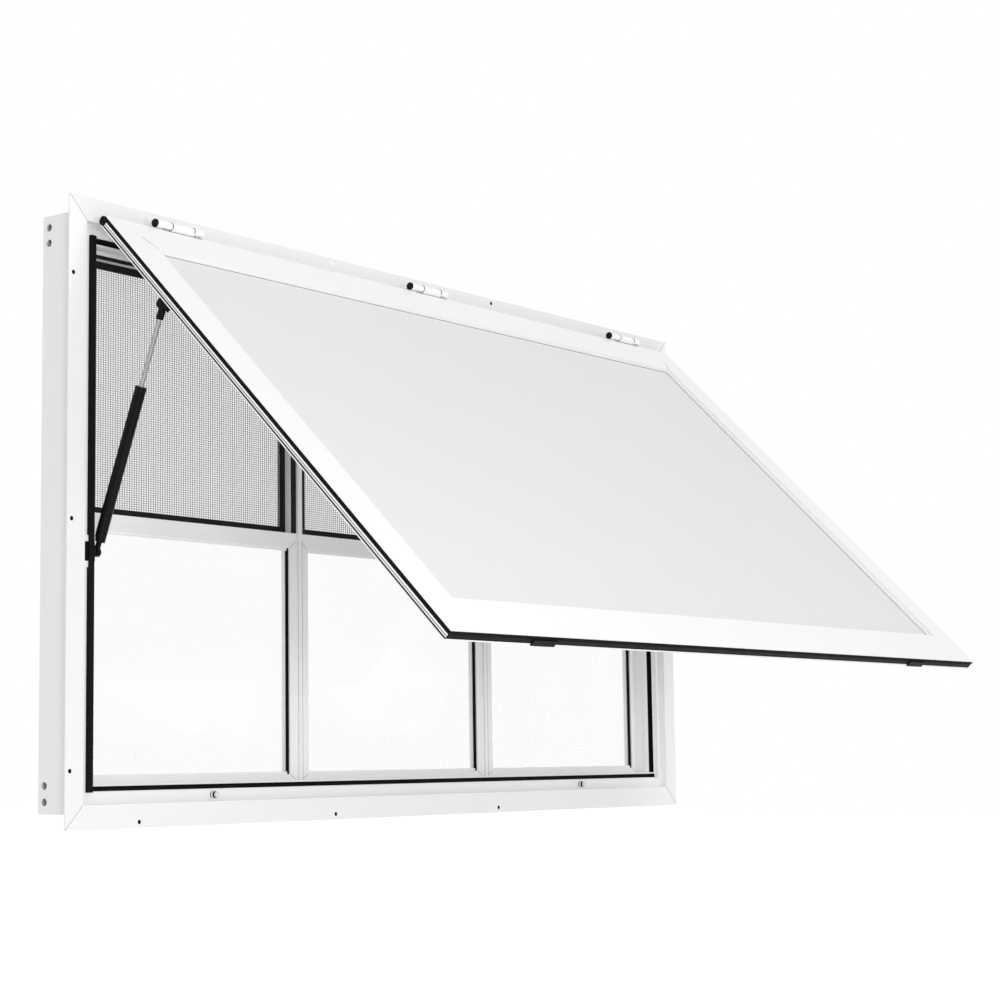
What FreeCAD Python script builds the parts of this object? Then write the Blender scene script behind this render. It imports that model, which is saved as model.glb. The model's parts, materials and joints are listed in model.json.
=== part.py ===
import FreeCAD, Part
import os
import re
import Sketcher

# A concession window: a flanged outer frame, three bays of lower glass and upper screens,
# and a top-hung serving door held open by a gas strut at each side.
# X runs along the wall, Y into the wall, Z up. The origin is on the flange's rear face,
# midway across, at the centre of the bottom lip that stands outside the frame's box.

SIZES = {
    # outer frame: u is counted inward from the flange's outer edge
    "flange_width": 1930.0,
    "flange_height": 1066.0,
    "flange_thickness": 3.0,
    "flange_lip": 25.0,
    "flange_face": 41.0,
    "frame_depth": 87.0,
    "frame_wall": 3.0,
    "rebate_depth": 12.0,
    "rebate_width": 20.0,
    "seal_seat_depth": 24.0,
    "seal_seat_width": 11.0,
    # fixing holes
    "flange_hole_radius": 2.6,
    "flange_hole_inset": 10.0,
    "flange_hole_end": 174.5,
    "side_hole_end": 116.0,
    "side_hole_drop": 19.0,
    "wall_hole_radius": 6.5,
    "wall_hole_setback": 14.0,
    "wall_hole_first": 20.0,
    "wall_hole_pitch": 27.0,
    # perimeter seal
    "seal_front_low": 9.0,
    "seal_front_high": 1.5,
    "seal_overhang": 2.0,
    "seal_lip_length": 10.0,
    # bays: the sashes are set from the frame's inner edge, the posts stand before them
    "post_width": 13.0,
    "post_lead": 4.0,
    "post_wall": 2.0,
    "lower_sash_height": 451.0,
    "sash_setback": 32.0,
    "sash_depth": 20.0,
    "sash_stile": 20.0,
    "sash_bottom_rail": 12.0,
    "sash_top_rail": 16.0,
    "glass_front_lip": 7.0,
    "glass_thickness": 4.0,
    "glass_groove": 8.0,
    "glass_clearance": 0.3,
    "gasket_width": 5.0,
    "gasket_depth": 4.0,
    "upper_trim_depth": 2.0,
    "upper_bar": 13.0,
    "screen_setback": 14.0,
    "screen_bar": 12.0,
    "screen_depth": 8.0,
    "screen_groove": 4.0,
    "mesh_thickness": 0.6,
    "upper_glass_setback": 24.0,
    # door: measured from the hinge axis when it hangs closed
    "hinge_reach": 33.0,
    "hinge_drop": 26.0,
    "door_angle": 44.4,
    "door_side_margin": 55.0,
    "door_foot_margin": 13.0,
    "door_top_gap": 8.0,
    "door_face_set": 5.0,
    "door_bar_depth": 20.0,
    "door_face_sheet": 1.5,
    "door_bar": 75.0,
    "door_wall": 2.0,
    "door_recess": 9.5,
    "door_panel_thickness": 4.0,
    "door_panel_grip": 8.0,
    "door_panel_clearance": 0.3,
    "door_gasket_width": 6.0,
    "door_gasket_depth": 7.0,
    "door_rear_lip": 3.0,
    "door_bead_width": 1.5,
    "door_bead_depth": 2.0,
    # hinges
    "hinge_end": 234.0,
    "hinge_length": 123.0,
    "hinge_cap_length": 20.0,
    "hinge_cap_round": 3.0,
    "hinge_cap_radius": 7.5,
    "knuckle_radius": 7.0,
    "knuckle_gap": 0.5,
    "knuckle_end_length": 23.0,
    "hinge_pin_radius": 3.0,
    "hinge_pin_clearance": 0.05,
    "hinge_plate_thickness": 3.0,
    "hinge_plate_height": 12.0,
    "hinge_arm_thickness": 4.0,
    "hinge_tab_width": 22.0,
    "hinge_tab_set": 2.0,
    # gas struts: both pivots are placed from the hinge axis
    "strut_inset": 89.0,
    "strut_foot_set": 17.9,
    "strut_foot_drop": 576.9,
    "strut_head_drop": 194.0,
    "strut_head_set": 43.9,
    "strut_radius": 10.0,
    "strut_bore": 8.5,
    "strut_start": 19.5,
    "strut_end": 292.0,
    "strut_floor": 5.5,
    "strut_gland": 6.0,
    "rod_radius": 4.0,
    "rod_clearance": 0.05,
    "rod_start": 160.0,
    "piston_length": 8.0,
    "piston_clearance": 0.3,
    "eye_radius": 8.0,
    "eye_width": 8.0,
    "eye_neck_radius": 5.0,
    "pivot_pin_radius": 4.0,
    "pivot_clearance": 0.05,
    "pivot_edge": 1.5,
    "bracket_plate": 3.0,
    "bracket_gap": 5.0,
    "bracket_height": 54.0,
    "bracket_ear_height": 16.0,
    "bracket_rebate_play": 2.0,
    "door_bracket_height": 70.0,
    "fitting_length": 27.0,
    "fitting_neck_radius": 6.5,
    "fitting_eye_radius": 9.5,
    "fitting_eye_width": 15.0,
    "open_pivot_gap": 0.5,
    # catches
    "stud_end": 375.0,
    "stud_radius": 4.8,
    "stud_length": 13.0,
    "stud_waist_radius": 3.0,
    "stud_waist_length": 2.0,
    "stud_base_radius": 6.0,
    "stud_base_length": 6.5,
    "stud_inset": 11.0,
    "lock_end": 254.0,
    "lock_width": 64.0,
    "lock_height": 2.5,
    # rounded plugs at the ends of the door's top rail
    "plug_length": 20.0,
    "plug_radius": 8.5,
}

# Lengths worked out from the sizes, as text for the model's expressions
HALF_WIDTH = "flange_width / 2"
LOW = "(-flange_lip / 2)"
HIGH = "(flange_height - flange_lip / 2)"
INNER_EDGE = "(flange_face + rebate_width + seal_seat_width)"
CLEAR_HALF = f"({HALF_WIDTH} - {INNER_EDGE})"
CLEAR_LOW = f"({LOW} + {INNER_EDGE})"
CLEAR_HIGH = f"({HIGH} - {INNER_EDGE})"
BAY_WIDTH = f"((2 * {CLEAR_HALF} - 2 * post_width) / 3)"
BAY_PITCH = f"({BAY_WIDTH} + post_width)"
SASH_TOP = f"({CLEAR_LOW} + lower_sash_height)"
SASH_FRONT = "(frame_depth - sash_setback)"
POST_FRONT = f"({SASH_FRONT} - post_lead)"
GLASS_FRONT = f"({SASH_FRONT} + glass_front_lip)"
UPPER_FRONT = f"({SASH_FRONT} + upper_trim_depth)"
SCREEN_FRONT = f"({UPPER_FRONT} + screen_setback)"
UPPER_GLASS_FRONT = f"({UPPER_FRONT} + upper_glass_setback)"
AXIS_Z = f"({HIGH} - hinge_drop)"
DOOR_HALF = f"({HALF_WIDTH} - door_side_margin)"
DOOR_HIGH = "(-door_top_gap)"
DOOR_LOW = "(hinge_drop + door_foot_margin - flange_height)"
DOOR_BACK = "(door_face_set + door_bar_depth)"
PANEL_FRONT = "(door_face_set + door_recess)"
PANEL_BACK = f"({PANEL_FRONT} + door_panel_thickness)"
GASKET_FRONT = "(door_face_set + door_face_sheet)"
GASKET_BACK = f"({GASKET_FRONT} + door_gasket_depth)"
BEAD_BACK = f"({DOOR_BACK} - door_rear_lip)"
BEAD_FRONT = f"({BEAD_BACK} - door_bead_depth)"
HINGE_X = f"({HALF_WIDTH} - hinge_end)"
STUD_X = f"({HALF_WIDTH} - stud_end)"
LOCK_X = f"({DOOR_HALF} - lock_end)"
FLANGE_HOLE_PITCH = "((flange_width - 2 * flange_hole_end) / 3)"
SIDE_HOLE_PITCH = "((flange_height - 2 * side_hole_end) / 2)"
STRUT_X = f"({HALF_WIDTH} - strut_inset)"
FOOT_Z = f"({AXIS_Z} - strut_foot_drop)"
HEAD_Y = "(-hinge_reach + strut_head_set * cos(door_angle) - strut_head_drop * sin(door_angle))"
HEAD_Z = f"({AXIS_Z} - strut_head_set * sin(door_angle) - strut_head_drop * cos(door_angle))"
STRUT_RUN = f"(strut_foot_set - {HEAD_Y})"
STRUT_RISE = f"({HEAD_Z} - {FOOT_Z})"
STRUT_LENGTH = f"sqrt({STRUT_RUN} * {STRUT_RUN} + {STRUT_RISE} * {STRUT_RISE})"
STRUT_LEAN = f"atan2({STRUT_RUN}; {STRUT_RISE})"
ROD_TIP = f"({STRUT_LENGTH} - fitting_length - open_pivot_gap)"

doc = FreeCAD.newDocument("ConcessionWindow")
nodes = []


def make_sheet():
    """Writes each size in a cell of its own, named by its alias."""
    sheet = doc.addObject("Spreadsheet::Sheet", "Sizes")
    for row, (alias, value) in enumerate(SIZES.items(), start=1):
        sheet.set(f"A{row}", alias)
        sheet.set(f"B{row}", str(value))
        sheet.setAlias(f"B{row}", alias)
    doc.recompute()


def bind(thing, path, text):
    """Ties a property to the sheet: the sizes named in the text become cell names."""
    def as_cell(match):
        word = match.group(0)
        return f"Sizes.{word}" if word in SIZES else word
    thing.setExpression(path, re.sub(r"[a-z][a-z_]+", as_cell, text))


def new_body(label, is_node=True):
    body = doc.addObject("PartDesign::Body", label)
    body.Label = label
    if is_node:
        nodes.append(body)
    return body


def new_sketch(body, plane, offset=None):
    """A sketch on one of the body's own planes, moved along the plane's normal."""
    sketch = body.newObject("Sketcher::SketchObject", "Sketch")
    support = [part for part in body.Origin.OriginFeatures if part.Role == plane][0]
    sketch.AttachmentSupport = [(support, "")]
    sketch.MapMode = "FlatFace"
    if offset is not None:
        bind(sketch, "AttachmentOffset.Base.z", offset)
    return sketch


def fix_point(sketch, geometry, point, where, start):
    """Dimensions a point from the sketch's origin in both directions."""
    for kind, text, value in zip(("DistanceX", "DistanceY"), where, start):
        number = sketch.addConstraint(Sketcher.Constraint(kind, -1, 1, geometry, point, value))
        bind(sketch, f"Constraints[{number}]", text)


def add_outline(sketch, corners):
    """Draws a closed outline whose corners are tied to the sheet."""
    first = sketch.GeometryCount
    count = len(corners)
    turn = FreeCAD.Rotation(FreeCAD.Vector(0, 0, 1), 360.0 / count)
    points = [FreeCAD.Vector(SIZES["flange_lip"], 0, 0)]
    for _ in range(count - 1):
        points.append(turn.multVec(points[-1]))
    for index, point in enumerate(points):
        following = points[(index + 1) % count]
        sketch.addGeometry(Part.LineSegment(point, following), False)
    for index in range(count):
        following = first + (index + 1) % count
        sketch.addConstraint(Sketcher.Constraint("Coincident", first + index, 2, following, 1))
    for index, corner in enumerate(corners):
        fix_point(sketch, first + index, 1, corner, (points[index].x, points[index].y))


def add_circle(sketch, centre, radius):
    """Draws a circle whose centre and radius are tied to the sheet."""
    start = FreeCAD.Vector(10, 10, 0)
    number = sketch.addGeometry(Part.Circle(start, FreeCAD.Vector(0, 0, 1), 5), False)
    fix_point(sketch, number, 3, centre, (start.x, start.y))
    datum = sketch.addConstraint(Sketcher.Constraint("Radius", number, 5.0))
    bind(sketch, f"Constraints[{datum}]", radius)


def pad(body, sketch, length, symmetric=False):
    feature = body.newObject("PartDesign::Pad", "Pad")
    feature.Profile = sketch
    if symmetric:
        feature.SideType = "Symmetric"
    bind(feature, "Length", length)
    return feature


def pocket(body, sketch, length):
    """Cuts the sketch to half the length on each side of its plane."""
    feature = body.newObject("PartDesign::Pocket", "Pocket")
    feature.Profile = sketch
    feature.SideType = "Symmetric"
    bind(feature, "Length", length)
    return feature


def revolve(body, corners):
    """Turns a half section, given as radius and height, once about the body's Z axis."""
    sketch = new_sketch(body, "XZ_Plane")
    add_outline(sketch, corners)
    feature = body.newObject("PartDesign::Revolution", "Revolution")
    feature.Profile = sketch
    feature.ReferenceAxis = (sketch, ["V_Axis"])
    feature.Angle = 360.0
    return feature


def rectangle(half, low, high):
    """Corners of a rectangle that is centred across and runs from low to high."""
    return [(f"-({half})", low), (half, low), (half, high), (f"-({half})", high)]


def span(first, last, low, high):
    return [(first, low), (last, low), (last, high), (first, high)]


def slab(body, front, back, outer, inner=None):
    """A plate from front to back in Y, with an inner outline left open."""
    sketch = new_sketch(body, "XZ_Plane", f"-({back})")
    add_outline(sketch, outer)
    if inner:
        add_outline(sketch, inner)
    return pad(body, sketch, f"{back} - ({front})")


def hole_row(body, centres, radius, length):
    """Round holes along Y, cut to half the length on each side of the plane y = 0."""
    sketch = new_sketch(body, "XZ_Plane")
    for centre in centres:
        add_circle(sketch, centre, radius)
    return pocket(body, sketch, length)


def side_holes(body, plane_x, centres, radius, length):
    """Round holes along X through a wall that lies at plane_x."""
    sketch = new_sketch(body, "YZ_Plane", plane_x)
    for centre in centres:
        add_circle(sketch, centre, radius)
    return pocket(body, sketch, length)


def mitred_bar(body, side, outline, cavity, reach, box):
    """A hollow bar along one side of a rectangle, its ends cut at 45 degrees.

    Outline and cavity are sections given as (depth in y, distance inward from the edge).
    """
    half, low, high = box
    upright = side in ("left", "right")
    if upright:
        sign = "-" if side == "left" else ""
        back = "" if side == "left" else "-"

        def place(corner):
            return (f"{sign}({half}) + ({back}1) * ({corner[1]})", corner[0])
        plane, offset, length = "XY_Plane", low, f"{high} - {low}"
    else:
        edge, turn = (low, "1") if side == "bottom" else (high, "-1")

        def place(corner):
            return (corner[0], f"{edge} + ({turn}) * ({corner[1]})")
        plane, offset, length = "YZ_Plane", None, f"2 * {half}"
    sketch = new_sketch(body, plane, offset)
    add_outline(sketch, [place(corner) for corner in outline])
    if cavity:
        add_outline(sketch, [place(corner) for corner in cavity])
    pad(body, sketch, length, symmetric=not upright)
    cut_mitres(body, side, reach, box)


def cut_mitres(body, side, reach, box):
    """Cuts both ends of a bar along the diagonals of the rectangle's corners."""
    half, low, high = box
    corners = {
        "left": [(f"-({half})", low, "1", "1"), (f"-({half})", high, "1", "-1")],
        "right": [(half, low, "-1", "1"), (half, high, "-1", "-1")],
        "bottom": [(f"-({half})", low, "1", "1"), (half, low, "-1", "1")],
        "top": [(f"-({half})", high, "1", "-1"), (half, high, "-1", "-1")],
    }[side]
    sketch = new_sketch(body, "XZ_Plane")
    for x, z, inward, upward in corners:
        out_x = f"{x} - ({inward}) * {reach}"
        out_z = f"{z} - ({upward}) * {reach}"
        in_x = f"{x} + ({inward}) * {reach}"
        in_z = f"{z} + ({upward}) * {reach}"
        third = (in_x, out_z) if side in ("left", "right") else (out_x, in_z)
        add_outline(sketch, [(out_x, out_z), (in_x, in_z), third])
    pocket(body, sketch, "6 * frame_depth")


def group(label, pieces):
    """Like pieces that don't touch share one node."""
    holder = doc.addObject("Part::Compound", label)
    holder.Label = label
    holder.Links = pieces
    nodes.append(holder)
    return holder


def in_bay(body, number):
    """Moves a piece drawn about x = 0 to its bay: -1 left, 0 centre, 1 right."""
    bind(body, "Placement.Base.x", f"({number}) * {BAY_PITCH}")


def on_door(body, across=None):
    """Hangs a piece drawn about the hinge axis at the door's open angle."""
    turned = FreeCAD.Rotation(FreeCAD.Vector(-1, 0, 0), SIZES["door_angle"])
    body.Placement = FreeCAD.Placement(FreeCAD.Vector(0, 0, 0), turned)
    if across:
        bind(body, "Placement.Base.x", across)
    bind(body, "Placement.Base.y", "-hinge_reach")
    bind(body, "Placement.Base.z", AXIS_Z)
    bind(body, "Placement.Rotation.Angle", "door_angle")


BAYS = (("left", -1), ("centre", 0), ("right", 1))
SIDES = (("left", -1), ("right", 1))
FRAME_BOX = (HALF_WIDTH, LOW, HIGH)
DOOR_BOX = (DOOR_HALF, DOOR_LOW, DOOR_HIGH)


def frame_outline():
    """The frame's section: flange, return, rebate, seal seat and inner wall."""
    seat = "flange_face + rebate_width"
    return [
        ("-flange_thickness", "0"),
        ("-flange_thickness", "flange_face"),
        ("rebate_depth", "flange_face"),
        ("rebate_depth", seat),
        ("seal_seat_depth", seat),
        ("seal_seat_depth", INNER_EDGE),
        ("frame_depth", INNER_EDGE),
        ("frame_depth", "flange_lip"),
        ("0", "flange_lip"),
        ("0", "0"),
    ]


def frame_cavity():
    """The hollow inside the frame's section, one wall in from the outline."""
    seat = "flange_face + rebate_width - frame_wall"
    inner = f"{INNER_EDGE} - frame_wall"
    return [
        ("0", "flange_lip + frame_wall"),
        ("0", "flange_face - frame_wall"),
        ("rebate_depth + frame_wall", "flange_face - frame_wall"),
        ("rebate_depth + frame_wall", seat),
        ("seal_seat_depth + frame_wall", seat),
        ("seal_seat_depth + frame_wall", inner),
        ("frame_depth - frame_wall", inner),
        ("frame_depth - frame_wall", "flange_lip + frame_wall"),
    ]


def make_frame():
    """Four mitred bars, with the fixing holes through flange and jambs."""
    sides = {"frame_sill": "bottom", "frame_head": "top",
             "frame_left_jamb": "left", "frame_right_jamb": "right"}
    middle = f"({LOW} + flange_height / 2 - side_hole_drop)"
    for label, side in sides.items():
        body = new_body(label)
        mitred_bar(body, side, frame_outline(), frame_cavity(), f"{INNER_EDGE}", FRAME_BOX)
        if side in ("bottom", "top"):
            edge = f"{LOW} + flange_hole_inset" if side == "bottom" else f"{HIGH} - flange_hole_inset"
            centres = [(f"({step}) * {FLANGE_HOLE_PITCH}", edge) for step in (-1.5, -0.5, 0.5, 1.5)]
        else:
            sign = "-1" if side == "left" else "1"
            across = f"({sign}) * ({HALF_WIDTH} - flange_hole_inset)"
            centres = [(across, f"{middle} + ({step}) * {SIDE_HOLE_PITCH}") for step in (-1, 0, 1)]
            bore_side_wall(body, sign)
        hole_row(body, centres, "flange_hole_radius", "4 * flange_thickness")


def bore_side_wall(body, sign):
    """Four round holes through a jamb's outer wall, two near each end."""
    depth = "frame_depth - wall_hole_setback"
    box_low = f"{LOW} + flange_lip"
    box_high = f"{HIGH} - flange_lip"
    steps = ("wall_hole_first", "wall_hole_first + wall_hole_pitch")
    centres = [(depth, f"{box_low} + {step}") for step in steps]
    centres += [(depth, f"{box_high} - ({step})") for step in steps]
    plane = f"({sign}) * ({HALF_WIDTH} - flange_lip)"
    side_holes(body, plane, centres, "wall_hole_radius", "4 * frame_wall")


def make_seal():
    """The black seal: a sloped strip round the opening with a lip over the inner wall."""
    body = new_body("perimeter_seal")
    seat = "(flange_face + rebate_width)"
    inner = f"({INNER_EDGE} + seal_overhang)"

    def ring(inset):
        return rectangle(f"{HALF_WIDTH} - {inset}", f"{LOW} + {inset}", f"{HIGH} - {inset}")
    face = "seal_seat_depth - seal_front_high"
    slab(body, face, "seal_seat_depth", ring(seat), ring(INNER_EDGE))
    slab(body, face, "seal_seat_depth + seal_lip_length", ring(INNER_EDGE), ring(inner))
    step = f"(({seat} + {INNER_EDGE}) / 2)"
    slab(body, "seal_seat_depth - seal_front_low", "seal_seat_depth", ring(seat), ring(step))


def make_posts():
    """The two posts between the bays, hollow tubes from sill to head."""
    for name, sign in SIDES:
        body = new_body(f"mullion_{name}")
        sketch = new_sketch(body, "XY_Plane", CLEAR_LOW)
        add_outline(sketch, rectangle("post_width / 2", POST_FRONT, "frame_depth"))
        add_outline(sketch, rectangle("post_width / 2 - post_wall", f"{POST_FRONT} + post_wall",
                                      "frame_depth - post_wall"))
        pad(body, sketch, f"{CLEAR_HIGH} - {CLEAR_LOW}")
        bind(body, "Placement.Base.x", f"({sign}) * {BAY_PITCH} / 2")


def sash_opening(growth):
    """The sash's daylight opening, grown on each side."""
    return rectangle(f"{BAY_WIDTH} / 2 - sash_stile + {growth}",
                     f"{CLEAR_LOW} + sash_bottom_rail - ({growth})",
                     f"{SASH_TOP} - sash_top_rail + {growth}")


def make_lower_sashes():
    """Each lower sash is a grooved ring that holds a pane and a black glazing bead."""
    panes = []
    beads = []
    glass_back = f"{GLASS_FRONT} + glass_thickness"
    for name, number in BAYS:
        ring = rectangle(f"{BAY_WIDTH} / 2", CLEAR_LOW, SASH_TOP)
        sash = new_body(f"lower_sash_{name}")
        slab(sash, SASH_FRONT, GLASS_FRONT, ring, sash_opening("0"))
        slab(sash, GLASS_FRONT, glass_back, ring, sash_opening("glass_groove"))
        slab(sash, glass_back, f"{SASH_FRONT} + sash_depth", ring, sash_opening("0"))
        pane = new_body(f"pane_{name}", is_node=False)
        slab(pane, GLASS_FRONT, glass_back, sash_opening("glass_groove - glass_clearance"))
        bead = new_body(f"bead_{name}", is_node=False)
        slab(bead, f"{GLASS_FRONT} - gasket_depth", GLASS_FRONT, sash_opening("0"),
             sash_opening("-gasket_width"))
        for body in (sash, pane, bead):
            in_bay(body, number)
        panes.append(pane)
        beads.append(bead)
    group("lower_glass", panes)
    group("sash_gaskets", beads)


def upper_opening(growth):
    """The upper frame's opening, grown on each side."""
    return rectangle(f"{BAY_WIDTH} / 2 - upper_bar + {growth}",
                     f"{SASH_TOP} + upper_bar - ({growth})",
                     f"{CLEAR_HIGH} - upper_bar + {growth}")


def make_upper_frames():
    """Each upper bay: a white ring with a black face strip, an insect screen and a fixed pane."""
    strips, panes, meshes = [], [], []
    glass_back = f"({UPPER_GLASS_FRONT} + glass_thickness)"
    for name, number in BAYS:
        outer = rectangle(f"{BAY_WIDTH} / 2", SASH_TOP, CLEAR_HIGH)
        ring = new_body(f"upper_frame_{name}")
        slab(ring, UPPER_FRONT, UPPER_GLASS_FRONT, outer, upper_opening("0"))
        slab(ring, UPPER_GLASS_FRONT, glass_back, outer, upper_opening("glass_groove"))
        slab(ring, glass_back, "frame_depth", outer, upper_opening("0"))
        strip = new_body(f"strip_{name}", is_node=False)
        slab(strip, SASH_FRONT, UPPER_FRONT, outer, upper_opening("0"))
        pane = new_body(f"fixed_pane_{name}", is_node=False)
        slab(pane, UPPER_GLASS_FRONT, glass_back, upper_opening("glass_groove - glass_clearance"))
        screen, mesh = make_screen(name)
        for body in (ring, strip, pane, screen, mesh):
            in_bay(body, number)
        strips.append(strip)
        panes.append(pane)
        meshes.append(mesh)
    group("upper_trim", strips)
    group("upper_glass", panes)
    group("screen_mesh", meshes)


def make_screen(name):
    """A black screen frame inside the upper ring, grooved for the mesh."""
    mesh_front = f"({SCREEN_FRONT} + screen_depth / 2 - mesh_thickness / 2)"
    mesh_back = f"({SCREEN_FRONT} + screen_depth / 2 + mesh_thickness / 2)"
    groove = "screen_groove - screen_bar"
    screen = new_body(f"screen_frame_{name}")
    slab(screen, SCREEN_FRONT, mesh_front, upper_opening("0"), upper_opening("-screen_bar"))
    slab(screen, mesh_front, mesh_back, upper_opening("0"), upper_opening(groove))
    slab(screen, mesh_back, f"{SCREEN_FRONT} + screen_depth", upper_opening("0"),
         upper_opening("-screen_bar"))
    mesh = new_body(f"mesh_{name}", is_node=False)
    slab(mesh, mesh_front, mesh_back, upper_opening(groove))
    return screen, mesh


def door_outline():
    """A door bar's section, edge inward: two grooves in the edge and a rebate for the panel."""
    grip = "door_bar - door_panel_grip"
    return [
        ("door_face_set", "0"),
        ("door_face_set", "door_bar"),
        (PANEL_FRONT, "door_bar"),
        (PANEL_FRONT, grip),
        (DOOR_BACK, grip),
        (DOOR_BACK, "0"),
        (BEAD_BACK, "0"),
        (BEAD_BACK, "door_bead_width"),
        (BEAD_FRONT, "door_bead_width"),
        (BEAD_FRONT, "0"),
        (GASKET_BACK, "0"),
        (GASKET_BACK, "door_gasket_width"),
        (GASKET_FRONT, "door_gasket_width"),
        (GASKET_FRONT, "0"),
    ]


def door_cavity():
    """The hollow inside a door bar, one wall in from its outline."""
    front = "door_face_set + door_wall"
    lip = "door_bar - door_wall"
    grip = "door_bar - door_panel_grip - door_wall"
    return [
        (front, "door_gasket_width + door_wall"),
        (front, lip),
        (f"{PANEL_FRONT} - door_wall", lip),
        (f"{PANEL_FRONT} - door_wall", grip),
        (f"{DOOR_BACK} - door_wall", grip),
        (f"{DOOR_BACK} - door_wall", "door_bead_width + door_wall"),
        (f"{GASKET_BACK} + door_wall", "door_bead_width + door_wall"),
        (f"{GASKET_BACK} + door_wall", "door_gasket_width + door_wall"),
    ]


def make_door():
    """Four mitred bars round a recessed panel, with a gasket and a bead let into the edge."""
    sides = {"door_bottom_rail": "bottom", "door_top_rail": "top",
             "door_left_stile": "left", "door_right_stile": "right"}
    for label, side in sides.items():
        body = new_body(label)
        mitred_bar(body, side, door_outline(), door_cavity(), "door_bar", DOOR_BOX)
        on_door(body)

    def ring(inset):
        return rectangle(f"{DOOR_HALF} - ({inset})", f"{DOOR_LOW} + {inset}",
                         f"{DOOR_HIGH} - ({inset})")
    panel = new_body("door_panel")
    slab(panel, PANEL_FRONT, PANEL_BACK, ring("door_bar - door_panel_grip + door_panel_clearance"))
    gasket = new_body("gasket_ring", is_node=False)
    slab(gasket, GASKET_FRONT, GASKET_BACK, ring("0"), ring("door_gasket_width"))
    bead = new_body("bead_ring", is_node=False)
    slab(bead, BEAD_FRONT, BEAD_BACK, ring("0"), ring("door_bead_width"))
    for body in (panel, gasket, bead):
        on_door(body)
    group("door_gasket", [gasket, bead])


def knuckle(body, first, last, radius):
    """A round boss along the hinge axis from first to last."""
    sketch = new_sketch(body, "YZ_Plane", first)
    add_circle(sketch, ("0", "0"), radius)
    return pad(body, sketch, f"{last} - ({first})")


def bar_along(body, first, last, corners):
    """A straight bar along X with a section in Y and Z."""
    sketch = new_sketch(body, "YZ_Plane", first)
    add_outline(sketch, corners)
    return pad(body, sketch, f"{last} - ({first})")


HINGE_START = "(-hinge_length / 2)"
FIRST_START = "(-hinge_length / 2 + hinge_cap_length)"
FIRST_END = f"({FIRST_START} + knuckle_end_length)"
LAST_START = "(hinge_length / 2 - knuckle_end_length)"
LAST_END = "(hinge_length / 2)"


def make_frame_leaf(name, across):
    """The fixed leaf: a strip on the flange, two arms with end knuckles, and the pin."""
    body = new_body(f"hinge_frame_leaf_{name}")
    face = "(hinge_reach - flange_thickness)"
    tall = "hinge_plate_height / 2"
    thick = "hinge_arm_thickness / 2"
    bar_along(body, FIRST_START, LAST_END,
              span(f"{face} - hinge_plate_thickness", face, f"-{tall}", tall))
    for first, last in ((FIRST_START, FIRST_END), (LAST_START, LAST_END)):
        bar_along(body, first, last, span("0", face, f"-{thick}", thick))
        knuckle(body, first, last, "knuckle_radius")
    knuckle(body, FIRST_START, LAST_END, "hinge_pin_radius")
    bind(body, "Placement.Base.x", across)
    bind(body, "Placement.Base.y", "-hinge_reach")
    bind(body, "Placement.Base.z", AXIS_Z)
    return body


def make_door_leaf(name, across):
    """The moving leaf: the middle knuckle with a tab that stands on the door's top rail."""
    body = new_body(f"hinge_door_leaf_{name}")
    first = f"({FIRST_END} + knuckle_gap)"
    last = f"({LAST_START} - knuckle_gap)"
    knuckle(body, first, last, "knuckle_radius")
    bar_along(body, first, last, span("-hinge_tab_set", "hinge_tab_width - hinge_tab_set",
                                      "-door_top_gap", "-hinge_pin_radius - hinge_pin_clearance"))
    bore = new_sketch(body, "YZ_Plane")
    add_circle(bore, ("0", "0"), "hinge_pin_radius + hinge_pin_clearance")
    pocket(body, bore, "2 * hinge_length")
    on_door(body, across)
    return body


def make_hinge_cap(name, across):
    """The rounded black cap that closes the left end of a hinge."""
    body = new_body(f"hinge_cap_{name}", is_node=False)
    feature = knuckle(body, HINGE_START, FIRST_START, "hinge_cap_radius")
    doc.recompute()
    dome = body.newObject("PartDesign::Chamfer", "Chamfer")
    dome.Base = (feature, [end_edge(feature)])
    bind(dome, "Size", "hinge_cap_round")
    bind(body, "Placement.Base.x", across)
    bind(body, "Placement.Base.y", "-hinge_reach")
    bind(body, "Placement.Base.z", AXIS_Z)
    return body


def end_edge(feature):
    """Name of the round edge at the far left end of a boss."""
    lefts = [edge.BoundBox.XMax for edge in feature.Shape.Edges]
    return f"Edge{lefts.index(min(lefts)) + 1}"


def make_corner_plugs():
    """The rounded black plugs that stand on both ends of the door's top rail."""
    plugs = []
    middle = f"(({GASKET_FRONT} + {DOOR_BACK}) / 2)"
    for name, sign in SIDES:
        plug = new_body(f"plug_{name}", is_node=False)
        first, last = signed_span(sign, f"{DOOR_HALF} - plug_length", DOOR_HALF)
        sketch = new_sketch(plug, "YZ_Plane", first)
        add_circle(sketch, (middle, DOOR_HIGH), "plug_radius")
        pad(plug, sketch, f"{last} - ({first})")
        flat = new_sketch(plug, "YZ_Plane", first)
        add_outline(flat, span(f"{middle} - 2 * plug_radius", f"{middle} + 2 * plug_radius",
                               f"{DOOR_HIGH} - 2 * plug_radius", DOOR_HIGH))
        pocket(plug, flat, "4 * plug_length")
        on_door(plug)
        plugs.append(plug)
    group("door_corner_plugs", plugs)


def make_hinges():
    caps = []
    for name, sign in BAYS:
        across = f"({sign}) * {HINGE_X}"
        make_frame_leaf(name, across)
        make_door_leaf(name, across)
        caps.append(make_hinge_cap(name, across))
    group("hinge_caps", caps)


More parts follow.
